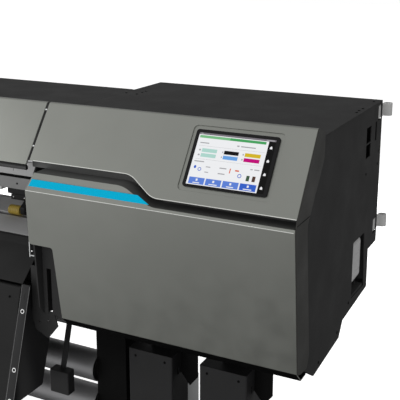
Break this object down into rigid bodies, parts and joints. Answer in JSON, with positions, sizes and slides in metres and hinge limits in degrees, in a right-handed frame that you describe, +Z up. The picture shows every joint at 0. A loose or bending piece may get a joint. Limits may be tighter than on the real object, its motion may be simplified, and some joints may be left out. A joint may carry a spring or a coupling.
{
  "type": "wide roll printer cutter",
  "caption": "Wide floor-standing roll printer and cutter: boxy end housings, hinged slanted front cover, carriage rail, platen, heater apron and castered stand with media rolls.",
  "frame": {"origin": "middle of the footprint, on the floor", "axes": "+X to the machine's right as seen from the front, +Y to the rear, +Z up"},
  "size_m": [3.092, 0.9, 1.5483],
  "materials": {
    "cover_grey": "satin",
    "body_black": "fine texture, satin",
    "frame_black": "satin powder coat",
    "end_cap_grey": "satin",
    "light_cover": "satin",
    "steel": "brushed",
    "aluminium": "anodised",
    "black_plastic": "moulded",
    "grey_plastic": "moulded",
    "light_plastic": "moulded",
    "amber_rubber": "matte",
    "wheel_rubber": "matte",
    "belt_rubber": "matte",
    "screen_glass": "gloss",
    "window_tint": "smoked",
    "cyan_film": "gloss",
    "brass": "turned"
  },
  "bodies": {
    "machine": {"right_leg": "frame_black", "left_leg": "frame_black", "levelling_feet": "steel", "stretcher_tubes": "frame_black", "bed_frame": "frame_black", "side_frames": "frame_black", "rail_beam": "light_cover", "guide_rail": "steel", "platen": "aluminium", "media_aprons": "body_black", "dryer_duct": "body_black", "dryer_end_plates": "frame_black", "timing_belt": "belt_rubber", "drive_motors": "black_plastic", "control_box": "steel", "end_top_covers": "body_black", "centre_top_cover": "body_black", "right_upper_panel": "cover_grey", "touch_screen": "screen_glass", "right_lower_panel": "cover_grey", "accent_stripe": "cyan_film", "right_side_panel": "body_black", "left_side_panel": "body_black", "end_caps": "end_cap_grey", "back_panels": "body_black", "left_front_panels": "cover_grey", "rear_hooks": "light_plastic", "cover_screws": "frame_black", "ink_rack": "grey_plastic", "roll_brackets": "frame_black"},
    "cover": {"front_cover": "cover_grey", "cover_window": "window_tint"},
    "print_head_carriage": {"print_carriage": "black_plastic", "print_heads": "steel"},
    "cutting_carriage": {"cutter_carriage": "black_plastic"},
    "blade": {"blade_holder": "brass"},
    "feed": {"feed_roller": "steel"},
    "pinch_lift": {"load_lever": "steel", "pinch_arms": "frame_black"},
    "pinch_wheels": {"pinch_rollers": "amber_rubber"},
    "drive_wheel": {"drive_pulley": "aluminium"},
    "idler_wheel": {"idler_pulley": "aluminium"},
    "capping": {"cap_unit": "grey_plastic"},
    "bottle": {"drain_bottle": "light_plastic"},
    "takeup": {"takeup_shaft": "grey_plastic"},
    "dancer": {"dancer_bar": "aluminium"},
    "supply": {"supply_shaft": "grey_plastic"},
    "rocker": {"main_switch": "black_plastic"},
    "tray_1": {"ink_tray_1": "black_plastic"},
    "tray_2": {"ink_tray_2": "black_plastic"},
    "tray_3": {"ink_tray_3": "black_plastic"},
    "tray_4": {"ink_tray_4": "black_plastic"},
    "fork_front_right": {"caster_fork_front_right": "steel"},
    "wheel_front_right": {"caster_wheel_front_right": "wheel_rubber"},
    "fork_rear_right": {"caster_fork_rear_right": "steel"},
    "wheel_rear_right": {"caster_wheel_rear_right": "wheel_rubber"},
    "fork_front_left": {"caster_fork_front_left": "steel"},
    "wheel_front_left": {"caster_wheel_front_left": "wheel_rubber"},
    "fork_rear_left": {"caster_fork_rear_left": "steel"},
    "wheel_rear_left": {"caster_wheel_rear_left": "wheel_rubber"}
  },
  "joints": [
    {"name": "cover_hinge", "type": "hinge", "parent": "machine", "child": "cover", "pos_m": [-0.1365, -0.188, 1.532], "axis": [-1, 0, 0], "range_deg": [0, 65]},
    {"name": "print_travel", "type": "slide", "parent": "machine", "child": "print_head_carriage", "axis": [1, 0, 0], "range_m": [-2.2, 0]},
    {"name": "cutter_travel", "type": "slide", "parent": "machine", "child": "cutting_carriage", "axis": [1, 0, 0], "range_m": [0, 2.2]},
    {"name": "blade_stroke", "type": "slide", "parent": "cutting_carriage", "child": "blade", "axis": [0, 0, 1], "range_m": [-0.008, 0]},
    {"name": "feed_spin", "type": "hinge", "parent": "machine", "child": "feed", "pos_m": [-0.1365, -0.085, 1.1125], "axis": [1, 0, 0], "continuous": true},
    {"name": "pinch_lift_hinge", "type": "hinge", "parent": "machine", "child": "pinch_lift", "pos_m": [-0.1365, -0.035, 1.202], "axis": [-1, 0, 0], "range_deg": [0, 15]},
    {"name": "pinch_spin", "type": "hinge", "parent": "pinch_lift", "child": "pinch_wheels", "pos_m": [-0.1365, -0.085, 1.1414], "axis": [1, 0, 0], "continuous": true},
    {"name": "drive_spin", "type": "hinge", "parent": "machine", "child": "drive_wheel", "pos_m": [1.42, -0.025, 1.411], "axis": [0, 0, 1], "continuous": true},
    {"name": "idler_spin", "type": "hinge", "parent": "machine", "child": "idler_wheel", "pos_m": [-1.42, -0.025, 1.411], "axis": [0, 0, 1], "continuous": true},
    {"name": "cap_stroke", "type": "slide", "parent": "machine", "child": "capping", "axis": [0, 0, 1], "range_m": [-0.012, 0]},
    {"name": "bottle_slide", "type": "slide", "parent": "machine", "child": "bottle", "axis": [1, 0, 0], "range_m": [0, 0.16]},
    {"name": "takeup_spin", "type": "hinge", "parent": "machine", "child": "takeup", "pos_m": [-0.0785, -0.255, 0.33], "axis": [1, 0, 0], "continuous": true},
    {"name": "dancer_swing", "type": "hinge", "parent": "machine", "child": "dancer", "pos_m": [-0.0785, -0.125, 0.32], "axis": [-1, 0, 0], "range_deg": [0, 30]},
    {"name": "supply_spin", "type": "hinge", "parent": "machine", "child": "supply", "pos_m": [-0.0785, 0.305, 0.56], "axis": [1, 0, 0], "continuous": true},
    {"name": "switch_rock", "type": "hinge", "parent": "machine", "child": "rocker", "pos_m": [1.322, 0.388, 1.12], "axis": [1, 0, 0], "range_deg": [0, 8]},
    {"name": "tray_1_slide", "type": "slide", "parent": "machine", "child": "tray_1", "axis": [0, -1, 0], "range_m": [0, 0.18]},
    {"name": "tray_2_slide", "type": "slide", "parent": "machine", "child": "tray_2", "axis": [0, -1, 0], "range_m": [0, 0.18]},
    {"name": "tray_3_slide", "type": "slide", "parent": "machine", "child": "tray_3", "axis": [0, -1, 0], "range_m": [0, 0.18]},
    {"name": "tray_4_slide", "type": "slide", "parent": "machine", "child": "tray_4", "axis": [0, -1, 0], "range_m": [0, 0.18]},
    {"name": "swivel_front_right", "type": "hinge", "parent": "machine", "child": "fork_front_right", "pos_m": [1.1, -0.35, 0.09], "axis": [0, 0, 1], "continuous": true},
    {"name": "roll_front_right", "type": "hinge", "parent": "fork_front_right", "child": "wheel_front_right", "pos_m": [1.1, -0.326, 0.04], "axis": [1, 0, 0], "continuous": true},
    {"name": "swivel_rear_right", "type": "hinge", "parent": "machine", "child": "fork_rear_right", "pos_m": [1.1, 0.33, 0.09], "axis": [0, 0, 1], "continuous": true},
    {"name": "roll_rear_right", "type": "hinge", "parent": "fork_rear_right", "child": "wheel_rear_right", "pos_m": [1.1, 0.354, 0.04], "axis": [1, 0, 0], "continuous": true},
    {"name": "swivel_front_left", "type": "hinge", "parent": "machine", "child": "fork_front_left", "pos_m": [-1.25, -0.35, 0.09], "axis": [0, 0, 1], "continuous": true},
    {"name": "roll_front_left", "type": "hinge", "parent": "fork_front_left", "child": "wheel_front_left", "pos_m": [-1.25, -0.326, 0.04], "axis": [1, 0, 0], "continuous": true},
    {"name": "swivel_rear_left", "type": "hinge", "parent": "machine", "child": "fork_rear_left", "pos_m": [-1.25, 0.33, 0.09], "axis": [0, 0, 1], "continuous": true},
    {"name": "roll_rear_left", "type": "hinge", "parent": "fork_rear_left", "child": "wheel_rear_left", "pos_m": [-1.25, 0.354, 0.04], "axis": [1, 0, 0], "continuous": true}
  ],
  "couplings": [
    {"joint": "pinch_spin", "follows": "feed_spin", "ratio": -0.78125},
    {"joint": "drive_spin", "follows": "print_travel", "rad_per_m": 50},
    {"joint": "idler_spin", "follows": "print_travel", "rad_per_m": 50}
  ]
}
